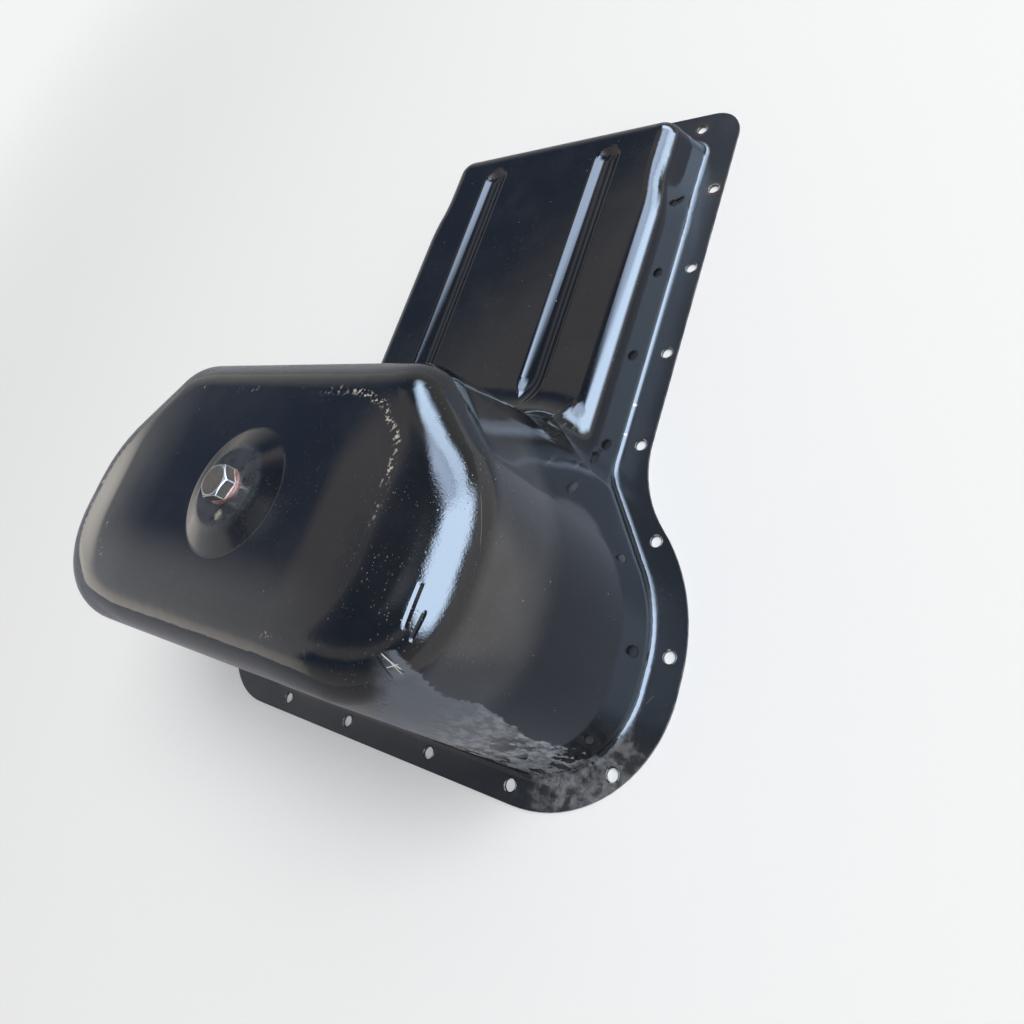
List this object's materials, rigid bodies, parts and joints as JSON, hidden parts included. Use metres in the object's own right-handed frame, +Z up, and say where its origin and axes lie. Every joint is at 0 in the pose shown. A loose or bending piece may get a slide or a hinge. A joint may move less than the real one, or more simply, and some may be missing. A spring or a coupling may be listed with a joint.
{
  "type": "engine oil pan",
  "caption": "Pressed-steel engine oil pan with a deep sump, a beaded shallow end, a drilled sealing flange and a hex drain plug on a copper ring; it closes the crankcase and holds the oil.",
  "frame": {"origin": "centre of the bounding box on the gasket face", "axes": "+Y along the pan from the sump to the shallow end, +Z up from the gasket face to the sump floor, +X across"},
  "size_m": [0.364, 0.484, 0.185],
  "materials": {
    "black_paint": "gloss black paint, scuffed and dusty",
    "nut_steel": "plain steel",
    "copper": "dull copper",
    "plug_steel": "worn steel with some rust"
  },
  "bodies": {
    "root": {"pan_shell": "black_paint", "drain_nut": "nut_steel", "drain_washer": "copper", "drain_plug": "plug_steel"}
  },
  "joints": []
}
